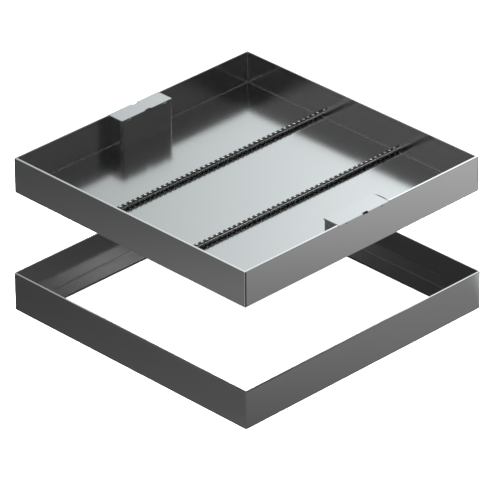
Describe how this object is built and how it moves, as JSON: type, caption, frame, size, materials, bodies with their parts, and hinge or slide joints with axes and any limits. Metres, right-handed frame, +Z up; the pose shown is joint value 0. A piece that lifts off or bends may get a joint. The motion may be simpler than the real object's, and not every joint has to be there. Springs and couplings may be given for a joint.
{
  "type": "recessed paving cover",
  "caption": "Square steel access cover: a shallow tray for paving, with ribbed bars and lifting boxes, held above its flanged ground frame.",
  "frame": {"origin": "on the ground under the middle of the frame", "axes": "+Z up, the ribbed bars along Y, the lifting boxes on the walls at -X and +X"},
  "size_m": [0.6, 0.6, 0.313],
  "materials": {
    "frame_steel": "satin stainless steel angle, welded corners dressed round",
    "tray_steel": "satin stainless steel, smooth enough for blurred reflections",
    "bar_steel": "hot rolled ribbed bar, pickled bright",
    "sheet_steel": "satin stainless steel sheet, folded and tack welded"
  },
  "bodies": {
    "root": {"frame_angle_front": "frame_steel", "frame_angle_right": "frame_steel", "frame_angle_back": "frame_steel", "frame_angle_left": "frame_steel", "tray_angle_front": "tray_steel", "tray_angle_right": "tray_steel", "tray_angle_back": "tray_steel", "tray_angle_left": "tray_steel", "tray_floor_plate": "tray_steel", "ribbed_bar_left": "bar_steel", "ribbed_bar_right": "bar_steel", "lifting_box_left": "sheet_steel", "lifting_box_right": "sheet_steel", "lifting_plate_left": "sheet_steel", "lifting_plate_right": "sheet_steel"}
  },
  "joints": []
}
